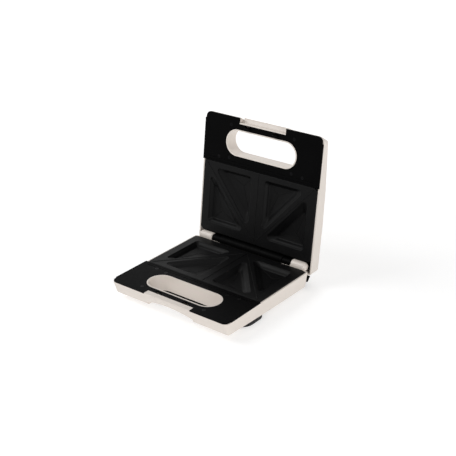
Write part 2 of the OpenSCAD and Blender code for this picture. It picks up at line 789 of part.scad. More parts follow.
// Lamps: two lenses through the lid's outer face, with their lamps in one holder
lens_back = lid_front_h + (lid_knee_h - lid_front_h) * (lamp_y - lens_flange_r - front_lean - edge_r)
    / (lid_knee_y - front_lean - edge_r) - wall - 0.2;
lens_front = lid_front_h + (lid_knee_h - lid_front_h) * (lamp_y + lens_r - front_lean - edge_r)
    / (lid_knee_y - front_lean - edge_r) + lens_proud;
module lamp_lenses() {
    color([0.75, 0.1, 0.08]) on_lid() for (side = [-1, 1]) translate([side * lamp_x, lamp_y, 0]) {
        prism(lens_back - lens_flange_t, lens_back) circle(lens_flange_r);
        prism(lens_back - over / 2, lens_front) circle(lens_r);
    }
}
module lamp_body() {
    translate([0, 0, lens_back - lens_flange_t - holder_h - 3])
        cylinder(r = lamp_r, h = holder_h + 2.8 - lamp_r);
    translate([0, 0, lens_back - lens_flange_t - 0.2 - lamp_r]) sphere(lamp_r);
}
module power_lamp() color([0.9, 0.4, 0.3]) on_lid() translate([-lamp_x, lamp_y, 0]) lamp_body();
module ready_lamp() color([0.3, 0.8, 0.4]) on_lid() translate([lamp_x, lamp_y, 0]) lamp_body();
module lamp_holder() {
    color(black) on_lid() difference() {
        translate([-lamp_x - 7, lamp_y - 5, lens_back - lens_flange_t - holder_h]) {
            cube([2 * lamp_x + 14, 10, holder_h]);
            for (x = [0, 2 * lamp_x + 14 - holder_wall]) translate([x, 0, 0])
                cube([holder_wall, 10, holder_h + lens_flange_t - 0.2]);
        }
        for (side = [-1, 1]) translate([side * lamp_x, lamp_y, 0])
            cylinder(r = lamp_r + screw_fit, h = tall);
    }
}
lamp_back = lens_back - lens_flange_t - holder_h - 3;
module lid_wiring() {
    color([0.75, 0.72, 0.68]) on_lid() {
        wire([[lead_x - 12, hinge_y, -hinge_z], [lead_x, hinge_y, -hinge_z],
            [lead_x, hinge_y, panel_d + 6], [lead_x, tray_end + 4, panel_d + 8],
            [lead_x, tray_end + 4, under + 1.8], [lead_x, tray_end - 12, under + 1.8]], lead_r);
        for (side = [-1, 1])
            wire([[side * lamp_x, lamp_y, lamp_back], [side * lamp_x, lamp_y, lamp_back - 3],
                [side * lamp_x, lamp_y + 4, lamp_back - 3]], wire_r / 2);
    }
}

module latch_pin() color(steel) on_lid() at_pivot() across(latch_pin_r, 2 * (cheek_x + cheek_t) + 0.6);
module latch() {
    color(cream) on_lid() difference() {
        union() {
            section(2 * latch_half) {
                translate([latch_back - latch_t, 0.3]) square([latch_t, pivot_z]);
                polygon([[latch_back, pivot_z - 0.6], [latch_back - latch_t, pivot_z - 1.4],
                    [4.2, paddle_z - 1.3], [paddle_y, paddle_z - latch_t / 2],
                    [paddle_y, paddle_z + latch_t / 2], [4.6, paddle_z + 0.5],
                    [latch_back, pivot_z + 1.2]]);
                translate([latch_back - 1, pivot_z - 1]) square([pivot_y - latch_back + 1, 2]);
            }
            at_pivot() across(latch_barrel_r, 2 * latch_half);
        }
        at_pivot() across(latch_pin_r + pin_fit, body_w);
        both() {
            translate([hook_x - hook_w / 2 - 0.1, hook_y - hook_t / 2 - 0.1, 0])
                cube([hook_w + 0.2, hook_t + 0.2, hook_seat]);
            translate([spring_x - spring_w / 2 - gap, pivot_y - latch_barrel_r - 0.6, pivot_z - 5])
                cube([spring_w + 2 * gap, 10, 10]);
        }
    }
}
module latch_hooks() {
    color(black) on_lid() both() translate([hook_x - hook_w / 2, hook_y - hook_t / 2, -hook_reach]) {
        cube([hook_w, hook_t, hook_seat + hook_reach]);
        cube([hook_w, hook_t + 0.6 + hook_bite, hook_toe]);
    }
}
module latch_springs() {
    color(steel) on_lid() both() at_pivot() difference() {
        bar(spring_r, spring_x - spring_w / 2, spring_w);
        bar(latch_pin_r + pin_fit, spring_x - spring_w, 2 * spring_w);
    }
}

base_shell();
base_deck();
base_deck_screws();
base_plate();
base_heater();
base_heater_clips();
base_heat_shield();
base_shield_screws();
base_thermostat();
thermal_fuse();
terminal_block();
base_wiring();
cord_gland();
cord_cleats();
front_feet();
rear_feet();
hinge_pins();
hinge_cover();
hinge_cover_screws();
lid_shell();
lid_deck();
lid_deck_screws();
lid_plate();
lid_heater();
lid_heater_clips();
lid_heat_shield();
lid_shield_screws();
lid_hinge_bracket();
lid_bracket_screws();
power_lamp();
ready_lamp();
lamp_lenses();
lamp_holder();
lid_wiring();
latch_pin();
latch();
latch_hooks();
latch_springs();
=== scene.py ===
import json
import math
import bpy
import bmesh
from mathutils import Matrix, Vector
from mathutils.geometry import delaunay_2d_cdt


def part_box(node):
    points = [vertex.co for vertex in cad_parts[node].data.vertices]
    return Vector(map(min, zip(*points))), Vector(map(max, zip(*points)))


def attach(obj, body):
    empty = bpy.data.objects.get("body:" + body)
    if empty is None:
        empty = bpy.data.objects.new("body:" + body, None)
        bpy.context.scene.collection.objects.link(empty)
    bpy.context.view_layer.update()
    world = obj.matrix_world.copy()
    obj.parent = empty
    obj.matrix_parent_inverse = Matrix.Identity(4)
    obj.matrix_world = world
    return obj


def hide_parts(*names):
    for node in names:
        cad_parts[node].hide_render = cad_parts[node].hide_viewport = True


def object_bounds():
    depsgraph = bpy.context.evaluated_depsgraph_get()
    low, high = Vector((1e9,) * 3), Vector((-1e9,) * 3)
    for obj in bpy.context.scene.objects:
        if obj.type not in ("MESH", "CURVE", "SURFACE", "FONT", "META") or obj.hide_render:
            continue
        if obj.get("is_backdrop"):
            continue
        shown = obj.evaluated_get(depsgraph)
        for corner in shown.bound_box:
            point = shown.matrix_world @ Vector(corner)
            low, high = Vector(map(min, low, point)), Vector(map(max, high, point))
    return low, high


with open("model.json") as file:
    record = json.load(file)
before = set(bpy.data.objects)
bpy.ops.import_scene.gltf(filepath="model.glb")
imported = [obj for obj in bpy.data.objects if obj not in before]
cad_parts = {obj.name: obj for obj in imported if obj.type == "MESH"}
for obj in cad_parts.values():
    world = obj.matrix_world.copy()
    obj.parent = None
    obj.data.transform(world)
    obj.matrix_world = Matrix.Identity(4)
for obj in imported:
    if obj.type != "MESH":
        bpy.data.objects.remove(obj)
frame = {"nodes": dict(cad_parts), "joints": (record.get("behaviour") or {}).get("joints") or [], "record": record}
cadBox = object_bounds()
mm = 0.001
scene = bpy.context.scene
nodes = frame["nodes"]
joints = {joint["name"]: joint for joint in frame["joints"]}

# Both halves are laid out as (across, back from the front edge, depth under the deck plane)
hinge = Vector(joints["lid_hinge"]["pos_m"])
halfGap = 1 * mm                                  # from the hinge axis to either deck plane
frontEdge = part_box("base_shell")[0].y
openAngle = math.radians(joints["lid_hinge"]["range_deg"][1])
baseHalf = Matrix(((1, 0, 0, 0), (0, 1, 0, frontEdge), (0, 0, -1, hinge.z - halfGap), (0, 0, 0, 1)))
lidHalf = (Matrix.Translation(hinge) @ Matrix.Rotation(-openAngle, 4, "X")
           @ Matrix.Translation((0, frontEdge - hinge.y, halfGap)))
print("frame loaded, hinge at", [round(v, 4) for v in hinge])


# Camera, at the photograph's viewing point
cameraSettings = {
    "azimuth": 39.01, "elevation": 25.06, "distance": 1.6070, "roll": -1.22, "lens": 77.34,
    "target": (-0.04857, 0.20860, 0.02689),       # from the deck's front edge, on the deck plane
}


def makeCamera(settings):
    turn, lift, roll = (math.radians(settings[key]) for key in ("azimuth", "elevation", "roll"))
    target = Vector(settings["target"]) + Vector((0, frontEdge, hinge.z - halfGap))
    back = Vector((math.sin(turn) * math.cos(lift), -math.cos(turn) * math.cos(lift), math.sin(lift)))
    right = (-back).cross(Vector((0, 0, 1))).normalized()
    up = right.cross(-back)
    rolledRight = right * math.cos(roll) + up * math.sin(roll)
    rolledUp = up * math.cos(roll) - right * math.sin(roll)
    data = bpy.data.cameras.new("photoCamera")
    data.lens = settings["lens"]
    data.sensor_width = 36
    camera = bpy.data.objects.new("photoCamera", data)
    scene.collection.objects.link(camera)
    turned = Matrix((rolledRight, rolledUp, back)).transposed().to_4x4()
    camera.matrix_world = Matrix.Translation(target + back * settings["distance"]) @ turned
    scene.camera = camera


makeCamera(cameraSettings)


# Node trees
class Wire:                                       # a socket that Python's operators work on
    def __init__(self, tree, socket):
        self.tree = tree
        self.socket = socket

    def maths(self, operation, first, second=0.0):
        return self.tree.node("ShaderNodeMath", {"operation": operation}, {0: first, 1: second})

    def __add__(self, other):
        return self.maths("ADD", self, other)

    def __mul__(self, other):
        return self.maths("MULTIPLY", self, other)

    def __sub__(self, other):
        return self.maths("SUBTRACT", self, other)

    def __rsub__(self, other):
        return self.maths("SUBTRACT", other, self)

    def __abs__(self):
        return self.maths("ABSOLUTE", self)

    def larger(self, other):
        return self.maths("MAXIMUM", self, other)

    __radd__ = __add__
    __rmul__ = __mul__


class Tree:                                       # a node tree and the one way to add a node to it
    def __init__(self, tree):
        self.tree = tree

    def link(self, value, target):
        if isinstance(value, Wire):
            self.tree.links.new(value.socket, target)
        else:
            target.default_value = value

    def node(self, kind, settings=None, inputs=None, output=0):
        made = self.tree.nodes.new(kind)
        for key, value in (settings or {}).items():
            setattr(made, key, value)
        for key, value in (inputs or {}).items():
            for item in value if isinstance(value, list) else [value]:
                self.link(item, made.inputs[key])
        return Wire(self, made.outputs[output] if made.outputs else None)


class Paint(Tree):                                # one material and its Principled shader
    def __init__(self, name, colour, roughness, **sockets):
        self.material = bpy.data.materials.new(name)
        self.material.use_nodes = True
        super().__init__(self.material.node_tree)
        self.tree.nodes.clear()
        self.shader = self.tree.nodes.new("ShaderNodeBsdfPrincipled")
        output = self.tree.nodes.new("ShaderNodeOutputMaterial")
        self.tree.links.new(self.shader.outputs[0], output.inputs["Surface"])
        self.put("Base Color", (*colour, 1))
        self.put("Roughness", roughness)
        for socket, value in sockets.items():
            self.put(socket.replace("_", " "), value)
        self.place = self.node("ShaderNodeTexCoord", output="Object")

    def put(self, socket, value):
        self.link(value, self.shader.inputs[socket])

    def noise(self, scale, detail, roughness=0.5):
        return self.node("ShaderNodeTexNoise", {}, {
            "Vector": self.place, "Scale": scale, "Detail": detail, "Roughness": roughness})

    def bump(self, height, distance, strength, below=None):
        inputs = {"Height": height, "Distance": distance, "Strength": strength}
        if below:
            inputs["Normal"] = below
        return self.node("ShaderNodeBump", {}, inputs)

    def blend(self, factor, first, second):
        return self.node("ShaderNodeMix", {"data_type": "RGBA"}, {
            "Factor": factor, 6: (*first, 1), 7: (*second, 1)}, output=2)

    def ranged(self, value, low, high, toLow=0.0, toHigh=1.0):
        return self.node("ShaderNodeMapRange", {}, {
            "Value": value, "From Min": low, "From Max": high, "To Min": toLow, "To Max": toHigh})

    def unevenRoughness(self, scale, detail, low, high):
        self.put("Roughness", self.ranged(self.noise(scale, detail), 0.3, 0.7, low, high))

    def outsideBox(self, low, high):              # distance outside an upright box, below zero inside it
        ways = [self.node("ShaderNodeSeparateXYZ", {}, {"Vector": self.place}, output=axis)
                for axis in (0, 1)]
        middle, half = (high + low) / 2, (high - low) / 2
        return (abs(ways[0] - middle.x) - half.x).larger(abs(ways[1] - middle.y) - half.y)


# Light and surroundings
studioSettings = {
    "world": 0.42,
    "lamps": {                                    # place, size and power
        "keyLight": ((-1.25, -0.95, 1.7), 1.2, 18.5),
        "sideLight": ((1.5, -0.78, 0.32), 0.6, 8),
        "rimLight": ((-0.3, 1.3, 1.5), 1.2, 6),
    },
}
floorSettings = {
    "reach": 6, "paper": 0.65, "shade": 0.01,     # the paper's colour in the open, and the dark painted shadow under the base
    "glow": 0.52, "farGlow": 0.77, "near": 0.35, "far": 0.9,
    "shadeFront": 0.038, "shadeInset": 0.01, "shadeSoftness": 0.012,
}


def makeStudio(settings):
    scene.view_settings.view_transform = "Standard"
    world = bpy.data.worlds.new("studioWorld")
    scene.world = world
    world.use_nodes = True
    tree = Tree(world.node_tree)
    tree.tree.nodes.clear()
    rays = [tree.node("ShaderNodeLightPath", output=ray)
            for ray in ("Is Camera Ray", "Is Glossy Ray", "Is Transmission Ray")]
    seen = rays[0].larger(rays[1]).larger(rays[2])
    strength = tree.node("ShaderNodeMapRange", {}, {
        "Value": seen, "To Min": settings["world"], "To Max": 1})
    sky = tree.node("ShaderNodeBackground", {}, {"Color": (1, 1, 1, 1), "Strength": strength})
    tree.node("ShaderNodeOutputWorld", {}, {"Surface": sky})
    for name, (place, size, power) in settings["lamps"].items():
        data = bpy.data.lights.new(name, "AREA")
        data.energy = power
        data.size = size
        lamp = bpy.data.objects.new(name, data)
        scene.collection.objects.link(lamp)
        lamp.location = place
        lamp.rotation_mode = "QUATERNION"
        lamp.rotation_quaternion = (-Vector(place)).to_track_quat("-Z", "Y")


def makeFloor(settings):
    mesh = bpy.data.meshes.new("studioFloor")
    reach = settings["reach"]
    corners = [(-reach, -reach, 0), (reach, -reach, 0), (reach, reach, 0), (-reach, reach, 0)]
    mesh.from_pydata(corners, [], [(0, 1, 2, 3)])
    floor = bpy.data.objects.new("studioFloor", mesh)
    scene.collection.objects.link(floor)
    white, shade = (settings["paper"],) * 3, (settings["shade"],) * 3
    paper = Paint("paperFloor", white, 1, Specular_IOR_Level=0, Emission_Strength=1)
    # painted shadow: inside the base's footprint, set back from its front edge, the paper turns dark and its glow
    # goes out
    low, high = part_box("base_shell")
    outside = paper.outsideBox(low + Vector((0, settings["shadeFront"], 0)), high)
    inset, softness = settings["shadeInset"], settings["shadeSoftness"]
    clearOfPaintedShadow = paper.ranged(outside, -inset - softness, -inset)
    glow = paper.ranged(outside, settings["near"], settings["far"], settings["glow"], settings["farGlow"])
    paper.put("Base Color", paper.blend(clearOfPaintedShadow, shade, white))
    paper.put("Emission Color", paper.blend(clearOfPaintedShadow * glow, (0, 0, 0), (1, 1, 1)))
    mesh.materials.append(paper.material)
    floor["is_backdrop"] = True


makeStudio(studioSettings)
makeFloor(floorSettings)
print("camera, light and floor made")


# Materials
def creamPlastic():
    look = {"colour": (0.735, 0.672, 0.615), "warm": (0.705, 0.637, 0.575), "roughness": 0.32}
    paint = Paint("creamPlastic", look["colour"], look["roughness"])
    flow = paint.ranged(paint.noise(9, 2), 0.35, 0.7, 0, 0.45)
    paint.put("Base Color", paint.blend(flow, look["colour"], look["warm"]))
    paint.unevenRoughness(60, 4, look["roughness"] - 0.03, look["roughness"] + 0.03)
    waves = paint.bump(paint.noise(14, 1), 0.0001, 0.3)
    paint.put("Normal", paint.bump(paint.noise(1400, 2), 0.00002, 0.4, waves))
    return paint.material


def blackPlastic():
    look = {"colour": (0.0009, 0.0009, 0.001), "worn": (0.0018, 0.0017, 0.0018), "roughness": 0.42}
    paint = Paint("blackPlastic", look["colour"], look["roughness"], Specular_IOR_Level=0.025)
    cloud = paint.ranged(paint.noise(24, 4), 0.4, 0.75, 0, 0.6)
    paint.put("Base Color", paint.blend(cloud, look["colour"], look["worn"]))
    paint.unevenRoughness(220, 3, look["roughness"] - 0.06, look["roughness"] + 0.08)
    paint.put("Normal", paint.bump(paint.noise(1900, 2, 0.6), 0.000035, 0.6))
    return paint.material


def nonStick():
    look = {"colour": (0.0018, 0.0018, 0.0019), "fleck": (0.0042, 0.0042, 0.0044), "roughness": 0.44}
    paint = Paint("nonStickCoating", look["colour"], look["roughness"], Specular_IOR_Level=0.1)
    flecks = paint.ranged(paint.noise(2600, 1), 0.62, 0.74)
    cloud = paint.ranged(paint.noise(30, 3), 0.4, 0.8, 0, 0.35)
    paint.put("Base Color", paint.blend(flecks * 0.5 + cloud, look["colour"], look["fleck"]))
    paint.unevenRoughness(90, 4, look["roughness"] - 0.04, look["roughness"] + 0.05)
    waves = paint.bump(paint.noise(120, 2), 0.00012, 0.3)
    paint.put("Normal", paint.bump(paint.noise(900, 3, 0.6), 0.00005, 0.55, waves))
    return paint.material


def steelFinish(name, colour, roughness):
    paint = Paint(name, colour, roughness, Metallic=1.0)
    stain = paint.ranged(paint.noise(80, 4), 0.35, 0.75, 0, 0.5)
    paint.put("Base Color", paint.blend(stain, colour, tuple(channel * 0.7 for channel in colour)))
    paint.unevenRoughness(500, 3, roughness - 0.07, roughness + 0.1)
    paint.put("Normal", paint.bump(paint.noise(1000, 2), 0.00002, 0.4))
    return paint.material


def rubberFinish():
    look = {"colour": (0.012, 0.012, 0.012), "dust": (0.03, 0.029, 0.027), "roughness": 0.75}
    paint = Paint("blackRubber", look["colour"], look["roughness"], Specular_IOR_Level=0.3)
    dust = paint.ranged(paint.noise(70, 4), 0.45, 0.8, 0, 0.5)
    paint.put("Base Color", paint.blend(dust, look["colour"], look["dust"]))
    paint.unevenRoughness(300, 3, look["roughness"] - 0.07, look["roughness"] + 0.1)
    paint.put("Normal", paint.bump(paint.noise(1200, 3), 0.00004, 0.6))
    return paint.material


def wovenSleeve():
    look = {"colour": (0.6, 0.55, 0.47), "gap": (0.32, 0.28, 0.23), "roughness": 0.8}
    paint = Paint("wovenSleeve", look["colour"], look["roughness"])
    weave = paint.node("ShaderNodeTexVoronoi", {}, {"Vector": paint.place, "Scale": 1500})
    paint.put("Base Color", paint.blend(paint.ranged(weave, 0.2, 0.7), look["colour"], look["gap"]))
    paint.put("Normal", paint.bump(1 - weave, 0.0001, 0.6))
    return paint.material


def plainPlastic(name, colour, roughness):
    paint = Paint(name, colour, roughness)
    paint.unevenRoughness(200, 3, roughness - 0.05, roughness + 0.08)
    paint.put("Normal", paint.bump(paint.noise(1500, 2), 0.00002, 0.4))
    return paint.material


def lensFinish():
    look = {"middle": (0.62, 0.03, 0.018), "edge": (0.4, 0.01, 0.008), "roughness": 0.12}
    paint = Paint("redLens", look["middle"], look["roughness"], Specular_IOR_Level=0.6)
    rings = paint.node("ShaderNodeTexVoronoi", {}, {"Vector": paint.place, "Scale": 900})
    paint.put("Base Color", paint.blend(paint.ranged(rings, 0.1, 0.7), look["middle"], look["edge"]))
    paint.put("Normal", paint.bump(rings, 0.00008, 0.4))
    return paint.material


finishes = {
    "cream": creamPlastic(), "black": blackPlastic(), "coating": nonStick(), "rubber": rubberFinish(),
    "zinc": steelFinish("zincSteel", (0.62, 0.63, 0.65), 0.3),
    "sheath": steelFinish("heaterSheath", (0.3, 0.3, 0.27), 0.5),
    "blackSteel": steelFinish("blackSteel", (0.009, 0.009, 0.0095), 0.34), "sleeve": wovenSleeve(),
    "block": plainPlastic("blockPlastic", (0.75, 0.73, 0.68), 0.5), "lens": lensFinish(),
    "lampGlass": plainPlastic("lampGlass", (0.85, 0.45, 0.3), 0.15),
}
print("finishes made:", len(finishes))


# Pieces that keep the shape of their node, with softened edges
weldGap = 0.002 * mm
flatWithin = math.radians(0.6)


def newObject(name, mesh):
    piece = bpy.data.objects.new(name, mesh)
    scene.collection.objects.link(piece)
    return piece


def applied(piece):                               # the piece with its modifiers turned into mesh
    depsgraph = bpy.context.evaluated_depsgraph_get()
    mesh = bpy.data.meshes.new_from_object(piece.evaluated_get(depsgraph))
    piece.modifiers.clear()
    old = piece.data
    piece.data = mesh
    bpy.data.meshes.remove(old)
    return piece


def bodyOf(node):
    return next(body for body, members in frame["record"]["behaviour"]["bodies"].items() if node in members)


def slotOf(node):
    return next(row["material_slot"] for row in frame["record"]["subparts"] if row["node"] == node)


def standFor(piece, node, finish):
    piece.data.materials.clear()
    piece.data.materials.append(finishes[finish])
    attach(piece, bodyOf(node))
    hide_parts(node)
    slotOf(node)


def smoothed(piece, sharp=40):
    for polygon in piece.data.polygons:
        polygon.use_smooth = True
    piece.data.set_sharp_from_angle(angle=math.radians(sharp))
    weighted = piece.modifiers.new("weighted", "WEIGHTED_NORMAL")
    weighted.keep_sharp = True
    weighted.weight = 60
    applied(piece)


def softenEdges(piece, width, angle):
    bevel = piece.modifiers.new("softEdges", "BEVEL")
    bevel.width = width * mm
    bevel.segments = 2
    bevel.limit_method = "ANGLE"
    bevel.angle_limit = math.radians(angle)
    bevel.use_clamp_overlap = True
    bevel.loop_slide = False
    bevel.harden_normals = False
    bevel.miter_outer = "MITER_ARC"
    applied(piece)
    smoothed(piece)


def softened(node, name, finish, width):
    mesh = nodes[node].data.copy()
    mesh.materials.clear()
    work = bmesh.new()
    work.from_mesh(mesh)
    bmesh.ops.remove_doubles(work, verts=work.verts, dist=weldGap)
    bmesh.ops.dissolve_limit(work, angle_limit=flatWithin, verts=work.verts, edges=work.edges)
    bmesh.ops.triangulate(work, faces=[face for face in work.faces if len(face.verts) > 4])
    work.to_mesh(mesh)
    work.free()
    piece = newObject(name, mesh)
    softenEdges(piece, width, 32)
    standFor(piece, node, finish)
    print("softened", name, len(piece.data.polygons), "faces")


# What repeats is made with Geometry Nodes, laid out in a half's own frame
class Recipe(Tree):
    def __init__(self, name, sizes):
        super().__init__(bpy.data.node_groups.new(name, "GeometryNodeTree"))
        face = self.tree.interface
        face.new_socket("Geometry", in_out="INPUT", socket_type="NodeSocketGeometry")
        for label, value in sizes.items():
            face.new_socket(label, in_out="INPUT", socket_type="NodeSocketFloat").default_value = value
        face.new_socket("Material", in_out="INPUT", socket_type="NodeSocketMaterial")
        face.new_socket("Geometry", in_out="OUTPUT", socket_type="NodeSocketGeometry")
        self.given = self.tree.nodes.new("NodeGroupInput")

    def size(self, label):
        return Wire(self, self.given.outputs[label])

    def turned(self, made, lift=0.0, turn=0.0):
        lifted = self.node("ShaderNodeCombineXYZ", {}, {"Z": lift})
        return self.node("GeometryNodeTransform", {}, {
            "Geometry": made, "Translation": lifted, "Rotation": (0, 0, turn)})

    def finish(self, made):
        real = self.node("GeometryNodeRealizeInstances", {}, {"Geometry": made})
        coated = self.node("GeometryNodeSetMaterial", {}, {
            "Geometry": real, "Material": self.size("Material")})
        self.node("NodeGroupOutput", {}, {"Geometry": coated})
        return self.tree


def grown(name, tree, guide, finish, half, sizes):     # a guide mesh run through a tree, as a plain mesh
    piece = newObject(name, guide)
    modifier = piece.modifiers.new("recipe", "NODES")
    modifier.node_group = tree
    values = {"Material": finishes[finish], **sizes}
    for item in tree.interface.items_tree:
        if item.name in values:
            modifier[item.identifier] = values[item.name]
    applied(piece)
    piece.data.transform(half)
    if half.is_negative:
        piece.data.flip_normals()
    return piece


screwSettings = {
    "Head Radius": 2.6 * mm, "Head Height": 1.2 * mm, "Shank Radius": 1.4 * mm, "Length": 10.5 * mm,
    "Recess Length": 3.1 * mm, "Recess Width": 0.75 * mm, "Recess Depth": 0.6 * mm,
}
screwSoftness = 0.14


def screwTree(sizes):                             # a cross-head screw on each guide point, head at z = 0
    recipe = Recipe("crossHeadScrews", sizes)
    size = recipe.size

    def cylinder(radius, length, lift, sides):
        made = recipe.node("GeometryNodeMeshCylinder", {}, {
            "Vertices": sides, "Radius": radius, "Depth": length})
        return recipe.turned(made, lift)

    head = cylinder(size("Head Radius"), size("Head Height"), size("Head Height") * 0.5, 40)
    shankMiddle = size("Head Height") * 0.8 + size("Length") * 0.5
    shank = cylinder(size("Shank Radius"), size("Length"), shankMiddle, 20)
    solid = recipe.node("GeometryNodeMeshBoolean", {"operation": "UNION"}, {"Mesh 2": [head, shank]})
    barSize = recipe.node("ShaderNodeCombineXYZ", {}, {
        "X": size("Recess Length"), "Y": size("Recess Width"), "Z": size("Recess Depth") * 2})
    bar = recipe.node("GeometryNodeMeshCube", {}, {"Size": barSize})
    bars = [recipe.turned(bar), recipe.turned(bar, 0.0, math.pi / 2)]
    cut = recipe.node("GeometryNodeMeshBoolean", {"operation": "DIFFERENCE"}, {
        "Mesh 1": solid, "Mesh 2": bars})
    return recipe.finish(recipe.node("GeometryNodeInstanceOnPoints", {}, {
        "Points": size("Geometry"), "Instance": cut}))


def islandsOf(node, half):                        # box of each loose part, in the half's frame
    work = bmesh.new()
    work.from_mesh(nodes[node].data)
    bmesh.ops.remove_doubles(work, verts=work.verts, dist=weldGap)
    work.transform(half.inverted())
    left = set(work.verts)
    boxes = []
    while left:
        found, edge = set(), [next(iter(left))]
        while edge:
            vert = edge.pop()
            if vert not in found:
                found.add(vert)
                edge += [link.other_vert(vert) for link in vert.link_edges]
        left -= found
        boxes.append([Vector([pick(vert.co[axis] for vert in found) for axis in range(3)])
                      for pick in (min, max)])
    work.free()
    return sorted(boxes, key=lambda box: tuple(round(v, 5) for v in box[0]))


def deckScrews(node, name, half):
    boxes = islandsOf(node, half)
    guide = bpy.data.meshes.new(name)
    heads = [((low.x + high.x) / 2, (low.y + high.y) / 2, low.z) for low, high in boxes]
    guide.from_pydata(heads, [], [])
    piece = grown(name, deckScrewTree, guide, "blackSteel", half, screwSettings)
    softenEdges(piece, screwSoftness, 50)
    standFor(piece, node, "blackSteel")
    print("screws", name, len(boxes))


softenedPieces = {                                # piece, finish and softness of each node's edges
    "base_shell": ("baseShell", "cream", 0.45),
    "lid_shell": ("lidShell", "cream", 0.45),
    "base_deck": ("baseDeck", "black", 0.35),
    "lid_deck": ("lidDeck", "black", 0.35),
    "latch": ("latchPaddle", "cream", 0.35),
    "latch_hooks": ("latchHooks", "black", 0.25),
    "hinge_cover": ("hingeCover", "black", 0.3),
    "lid_hinge_bracket": ("lidHingeBracket", "black", 0.35),
    "cord_cleats": ("cordCleats", "black", 0.5),
    "cord_gland": ("cordGland", "rubber", 0.3),
    "front_feet": ("frontFeet", "rubber", 0.8),
    "rear_feet": ("rearFeet", "rubber", 0.6),
    "hinge_cover_screws": ("hingeCoverScrews", "zinc", 0.12),
    "lamp_lenses": ("lampLenses", "lens", 0.3),
}
for node, (name, finish, softness) in softenedPieces.items():
    softened(node, name, finish, softness)
deckScrewTree = screwTree(screwSettings)
deckScrews("base_deck_screws", "baseDeckScrews", baseHalf)
deckScrews("lid_deck_screws", "lidDeckScrews", lidHalf)


# Cooking plates: four triangular pockets in each, laid round with rings from lip to floor
plateSettings = {
    "drop": 0.4, "rim": 2.4, "corner": 7, "edge": 1.3,
    "fieldIn": 13.5, "fieldFront": 10, "fieldSide": 15.8, "fieldRear": 16.5,
    "pocketWall": 12, "pocketCorner": 5, "leastCorner": 1.2, "cornerLoss": 2.6,
    "depth": 8.2, "apexDrop": 1.2, "lip": 1.35, "foot": 1.5,
    "wallStop": 2.55, "legLean": 6, "slopeLean": 11.5, "wallShare": 0.72, "footCreep": 0.03,
    "wellReach": 5, "wellCorner": 8, "wellSkin": 1.8,
    "wellRings": ((1, 1.2), (0.985, 0.4), (0.96, 0)),     # size, and height over the well's face
    "ribRadius": 0.62, "ridgeRadius": 0.5, "ridgeSink": 0.1,
    "middleRibFront": 2, "middleRibRear": 7,
    "slantRibNear": (4, 8), "slantRibFar": (9, 6),    # past the fields' rear inner and front outer corners
}
arcSteps = 8                                      # of each rounded corner


def ringOf(corners, insets, radius, steps):       # triangle drawn in from each side, with round corners
    count = len(corners)
    sides = []
    for i in range(count):
        start, end = corners[i], corners[(i + 1) % count]
        along = (end - start).normalized()
        inward = Vector((-along.y, along.x))
        sides.append((start + inward * (insets[i] + radius), along, inward))
    points = []
    for i in range(count):
        (p, u, inwardA), (q, v, inwardB) = sides[i - 1], sides[i]
        cross = u.x * v.y - u.y * v.x
        far = ((q - p).x * v.y - (q - p).y * v.x) / cross
        centre = p + u * far
        first = math.atan2(-inwardA.y, -inwardA.x)
        sweep = math.atan2(cross, u.dot(v))
        for step in range(steps + 1):
            angle = first + sweep * step / steps
            points.append(centre + radius * Vector((math.cos(angle), math.sin(angle))))
    return points


def pocketProfile(look):                          # outset, depth and share of the lean, from lip to floor
    deep, lip, foot, share = (look[key] for key in ("depth", "lip", "foot", "wallShare"))
    for step in range(5):                          # the lip, a quarter turn
        angle = math.pi / 2 * step / 4
        yield -lip * (1 - math.sin(angle)), lip * (1 - math.cos(angle)), 0
    for part in (0.25, 0.5, 0.75):                 # the wall
        yield 0, lip + (deep - lip - look["wallStop"]) * part, part * share
    for step in range(6):                          # the foot, a quarter turn
        angle = math.pi / 2 * step / 5
        lean = share + (1 - share) * (1 - math.cos(angle)) + look["footCreep"] * step
        yield 0, deep - foot + foot * math.sin(angle), lean


def pocketRings(corners, look):
    rings = []
    for outset, depth, lean in pocketProfile(look):
        leg, slope = outset + lean * look["legLean"], outset + lean * look["slopeLean"]
        radius = max(look["pocketCorner"] - outset - lean * look["cornerLoss"], look["leastCorner"])
        rings.append((ringOf(corners, [leg, slope, leg], radius, arcSteps), depth))
    return rings


def centreOf(corners, insets):
    a, b, c = ringOf(corners, insets, 0.0001, 1)[0::2]     # as good as sharp
    lengths = [(b - c).length, (c - a).length, (a - b).length]
    return (a * lengths[0] + b * lengths[1] + c * lengths[2]) / sum(lengths)


def roundedBox(halfWide, low, high, radius):
    points = []
    corners = ((halfWide, low, -90), (halfWide, high, 0), (-halfWide, high, 90), (-halfWide, low, 180))
    for x, y, start in corners:
        for step in range(arcSteps + 1):
            angle = math.radians(start + 90 * step / arcSteps)
            points.append(Vector((x - math.copysign(radius, x) + radius * math.cos(angle),
                                  y + (radius if y == low else -radius) + radius * math.sin(angle))))
    return points


def insideLoop(p, loop):
    inside = False
    for i in range(len(loop)):
        a, b = loop[i - 1], loop[i]
        if (a.y > p.y) != (b.y > p.y) and p.x < (b.x - a.x) * (p.y - a.y) / (b.y - a.y) + a.x:
            inside = not inside
    return inside


def pocketCorners(look, halfWide, front, rear):   # counter-clockwise, with the sloping side second
    inner, outer = look["fieldIn"], halfWide - look["fieldSide"]
    near, far = front + look["fieldFront"], rear - look["fieldRear"]
    wide, long = outer - inner, far - near
    slope = math.hypot(wide, long)
    legX = wide - look["pocketWall"] / 2 * slope / long
    legY = long - look["pocketWall"] / 2 * slope / wide
    for side in (-1, 1):
        for x, y, wayX, wayY in ((inner, near, 1, 1), (outer, far, -1, -1)):
            square = Vector((side * x, y))
            alongX = square + Vector((side * wayX * legX, 0))
            alongY = square + Vector((0, wayY * legY))
            yield [square, alongX, alongY] if side * wayX * wayY > 0 else [square, alongY, alongX]


